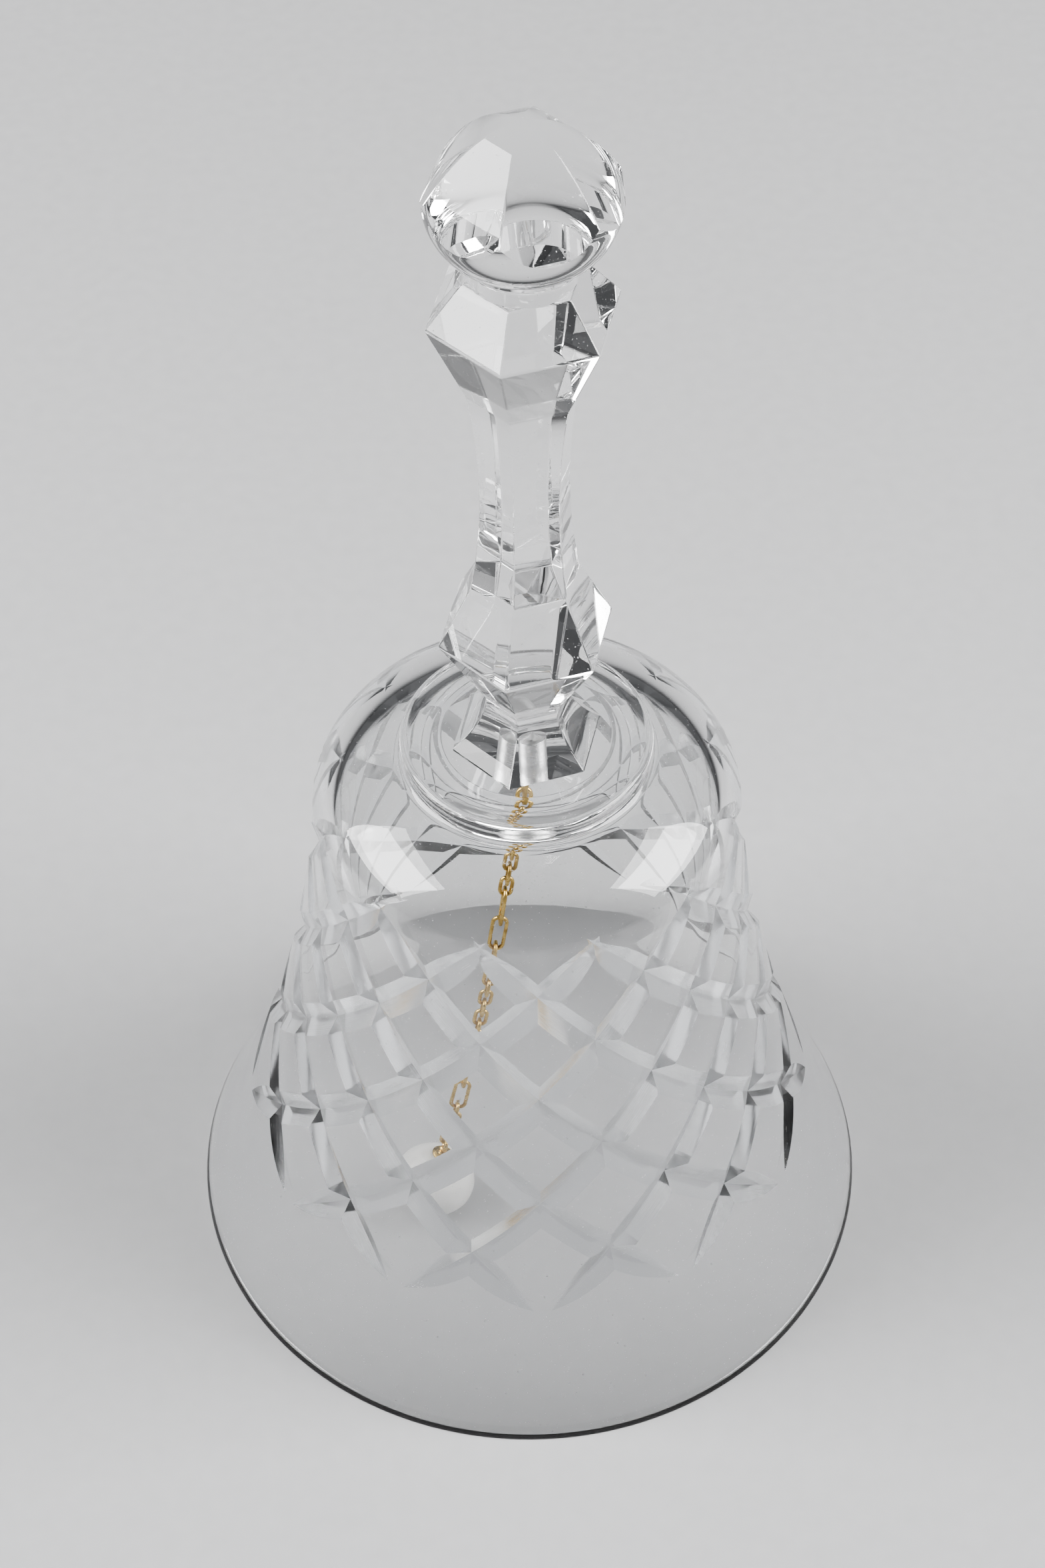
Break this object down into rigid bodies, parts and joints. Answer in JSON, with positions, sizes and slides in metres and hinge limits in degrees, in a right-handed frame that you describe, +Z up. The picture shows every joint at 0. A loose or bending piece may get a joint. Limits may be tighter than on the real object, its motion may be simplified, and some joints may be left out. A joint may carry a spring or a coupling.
{
  "type": "glass hand bell",
  "caption": "Clear cut-glass hand bell with a flared bowl, faceted six-sided handle and a ball clapper hanging on a fine gilt chain inside.",
  "frame": {"origin": "centre of the bell's mouth, on the plane that the rim stands on", "axes": "+Z up the bell's axis from the mouth to the finial; -Y is the front; the clapper rests towards -X and -Y"},
  "size_m": [0.09, 0.09, 0.1758],
  "materials": {
    "crystal": "polished clear lead crystal; the cut grooves are semi-matt",
    "white_metal": "turned, satin",
    "dark_wire": "drawn wire",
    "gilt_brass": "gilt, polished",
    "clapper_glass": "satin pearl-white bead"
  },
  "bodies": {
    "bell": {"bell_bowl": "crystal", "handle": "crystal", "hanger_ferrule": "white_metal", "eye_pin": "dark_wire"},
    "link_01": {"chain_link_01": "gilt_brass"},
    "link_02": {"chain_link_02": "gilt_brass"},
    "link_03": {"chain_link_03": "gilt_brass"},
    "link_04": {"chain_link_04": "gilt_brass"},
    "link_05": {"chain_link_05": "gilt_brass"},
    "link_06": {"chain_link_06": "gilt_brass"},
    "link_07": {"chain_link_07": "gilt_brass"},
    "link_08": {"chain_link_08": "gilt_brass"},
    "link_09": {"chain_link_09": "gilt_brass"},
    "link_10": {"chain_link_10": "gilt_brass"},
    "link_11": {"chain_link_11": "gilt_brass"},
    "link_12": {"chain_link_12": "gilt_brass"},
    "link_13": {"chain_link_13": "gilt_brass"},
    "link_14": {"chain_link_14": "gilt_brass"},
    "link_15": {"chain_link_15": "gilt_brass"},
    "link_16": {"chain_link_16": "gilt_brass"},
    "link_17": {"chain_link_17": "gilt_brass"},
    "link_18": {"chain_link_18": "gilt_brass"},
    "link_19": {"chain_link_19": "gilt_brass"},
    "link_20": {"chain_link_20": "gilt_brass"},
    "link_21": {"chain_link_21": "gilt_brass"},
    "link_22": {"chain_link_22": "gilt_brass"},
    "link_23": {"chain_link_23": "gilt_brass"},
    "link_24": {"chain_link_24": "gilt_brass"},
    "link_25": {"chain_link_25": "gilt_brass"},
    "link_26": {"chain_link_26": "gilt_brass"},
    "link_27": {"chain_link_27": "gilt_brass"},
    "link_28": {"chain_link_28": "gilt_brass"},
    "clapper": {"clapper_eye": "gilt_brass", "clapper_ball": "clapper_glass"}
  },
  "joints": [
    {"name": "link_01_swing", "type": "hinge", "parent": "bell", "child": "link_01", "pos_m": [0, 0, 0.0776], "axis": [-0.9898, 0, 0.1427], "range_deg": [-15, 13]},
    {"name": "link_02_swing", "type": "hinge", "parent": "link_01", "child": "link_02", "pos_m": [-0.00028, -0.00013, 0.07566], "axis": [0, 0.9978, -0.0656], "range_deg": [-12, 9]},
    {"name": "link_03_swing", "type": "hinge", "parent": "link_02", "child": "link_03", "pos_m": [-0.00056, -0.00025, 0.07373], "axis": [0.9897, 0, -0.143], "range_deg": [-13, 15]},
    {"name": "link_04_swing", "type": "hinge", "parent": "link_03", "child": "link_04", "pos_m": [-0.00084, -0.00038, 0.07179], "axis": [0, -0.9978, 0.0659], "range_deg": [-9, 14]},
    {"name": "link_05_swing", "type": "hinge", "parent": "link_04", "child": "link_05", "pos_m": [-0.00112, -0.00051, 0.06986], "axis": [-0.9896, 0, 0.1441], "range_deg": [-17, 14]},
    {"name": "link_06_swing", "type": "hinge", "parent": "link_05", "child": "link_06", "pos_m": [-0.0014, -0.00064, 0.06792], "axis": [0, 0.9978, -0.0666], "range_deg": [-16, 11]},
    {"name": "link_07_swing", "type": "hinge", "parent": "link_06", "child": "link_07", "pos_m": [-0.00168, -0.00077, 0.06599], "axis": [0.9893, 0, -0.1459], "range_deg": [-17, 21]},
    {"name": "link_08_swing", "type": "hinge", "parent": "link_07", "child": "link_08", "pos_m": [-0.00197, -0.0009, 0.06405], "axis": [0, -0.9977, 0.0676], "range_deg": [-13, 18]},
    {"name": "link_09_swing", "type": "hinge", "parent": "link_08", "child": "link_09", "pos_m": [-0.00226, -0.00103, 0.06212], "axis": [-0.9889, 0, 0.1484], "range_deg": [-24, 20]},
    {"name": "link_10_swing", "type": "hinge", "parent": "link_09", "child": "link_10", "pos_m": [-0.00255, -0.00116, 0.06018], "axis": [0, 0.9976, -0.069], "range_deg": [-20, 13]},
    {"name": "link_11_swing", "type": "hinge", "parent": "link_10", "child": "link_11", "pos_m": [-0.00284, -0.00129, 0.05825], "axis": [0.9884, 0, -0.1517], "range_deg": [-23, 26]},
    {"name": "link_12_swing", "type": "hinge", "parent": "link_11", "child": "link_12", "pos_m": [-0.00354, -0.00161, 0.05368], "axis": [0, -0.9975, 0.0707], "range_deg": [-17, 24]},
    {"name": "link_13_swing", "type": "hinge", "parent": "link_12", "child": "link_13", "pos_m": [-0.00425, -0.00194, 0.04911], "axis": [-0.9878, 0, 0.1557], "range_deg": [-26, 23]},
    {"name": "link_14_swing", "type": "hinge", "parent": "link_13", "child": "link_14", "pos_m": [-0.00456, -0.00208, 0.04718], "axis": [0, 0.9974, -0.0727], "range_deg": [-25, 18]},
    {"name": "link_15_swing", "type": "hinge", "parent": "link_14", "child": "link_15", "pos_m": [-0.00487, -0.00222, 0.04525], "axis": [0.9871, 0, -0.1604], "range_deg": [-25, 29]},
    {"name": "link_16_swing", "type": "hinge", "parent": "link_15", "child": "link_16", "pos_m": [-0.00518, -0.00236, 0.04332], "axis": [0, -0.9972, 0.0751], "range_deg": [-19, 27]},
    {"name": "link_17_swing", "type": "hinge", "parent": "link_16", "child": "link_17", "pos_m": [-0.0055, -0.00251, 0.04139], "axis": [-0.9862, 0, 0.1658], "range_deg": [-33, 29]},
    {"name": "link_18_swing", "type": "hinge", "parent": "link_17", "child": "link_18", "pos_m": [-0.00582, -0.00265, 0.03946], "axis": [0, 0.997, -0.0778], "range_deg": [-34, 25]},
    {"name": "link_19_swing", "type": "hinge", "parent": "link_18", "child": "link_19", "pos_m": [-0.00615, -0.0028, 0.03754], "axis": [0.9851, 0, -0.172], "range_deg": [-35, 38]},
    {"name": "link_20_swing", "type": "hinge", "parent": "link_19", "child": "link_20", "pos_m": [-0.00649, -0.00296, 0.03561], "axis": [0, -0.9967, 0.0809], "range_deg": [-35, 44]},
    {"name": "link_21_swing", "type": "hinge", "parent": "link_20", "child": "link_21", "pos_m": [-0.00683, -0.00311, 0.03369], "axis": [-0.9839, 0, 0.1788], "range_deg": [-46, 45]},
    {"name": "link_22_swing", "type": "hinge", "parent": "link_21", "child": "link_22", "pos_m": [-0.00718, -0.00327, 0.03177], "axis": [0, 0.9964, -0.0843], "range_deg": [-51, 45]},
    {"name": "link_23_swing", "type": "hinge", "parent": "link_22", "child": "link_23", "pos_m": [-0.00754, -0.00343, 0.02985], "axis": [0.9825, 0, -0.1864], "range_deg": [-55, 55]},
    {"name": "link_24_swing", "type": "hinge", "parent": "link_23", "child": "link_24", "pos_m": [-0.0084, -0.00383, 0.02531], "axis": [0, -0.9961, 0.0881], "range_deg": [-57, 57]},
    {"name": "link_25_swing", "type": "hinge", "parent": "link_24", "child": "link_25", "pos_m": [-0.00928, -0.00423, 0.02078], "axis": [-0.9809, 0, 0.1947], "range_deg": [-58, 58]},
    {"name": "link_26_swing", "type": "hinge", "parent": "link_25", "child": "link_26", "pos_m": [-0.00966, -0.0044, 0.01886], "axis": [0, 0.9957, -0.0922], "range_deg": [-63, 63]},
    {"name": "link_27_swing", "type": "hinge", "parent": "link_26", "child": "link_27", "pos_m": [-0.01005, -0.00458, 0.01695], "axis": [0.979, 0, -0.2037], "range_deg": [-60, 60]},
    {"name": "link_28_swing", "type": "hinge", "parent": "link_27", "child": "link_28", "pos_m": [-0.01044, -0.00476, 0.01504], "axis": [0, -0.9953, 0.0967], "range_deg": [-75, 75]},
    {"name": "clapper_swing", "type": "hinge", "parent": "link_28", "child": "clapper", "pos_m": [-0.01085, -0.00494, 0.01313], "axis": [-0.977, 0, 0.2134], "range_deg": [-60, 60]}
  ]
}
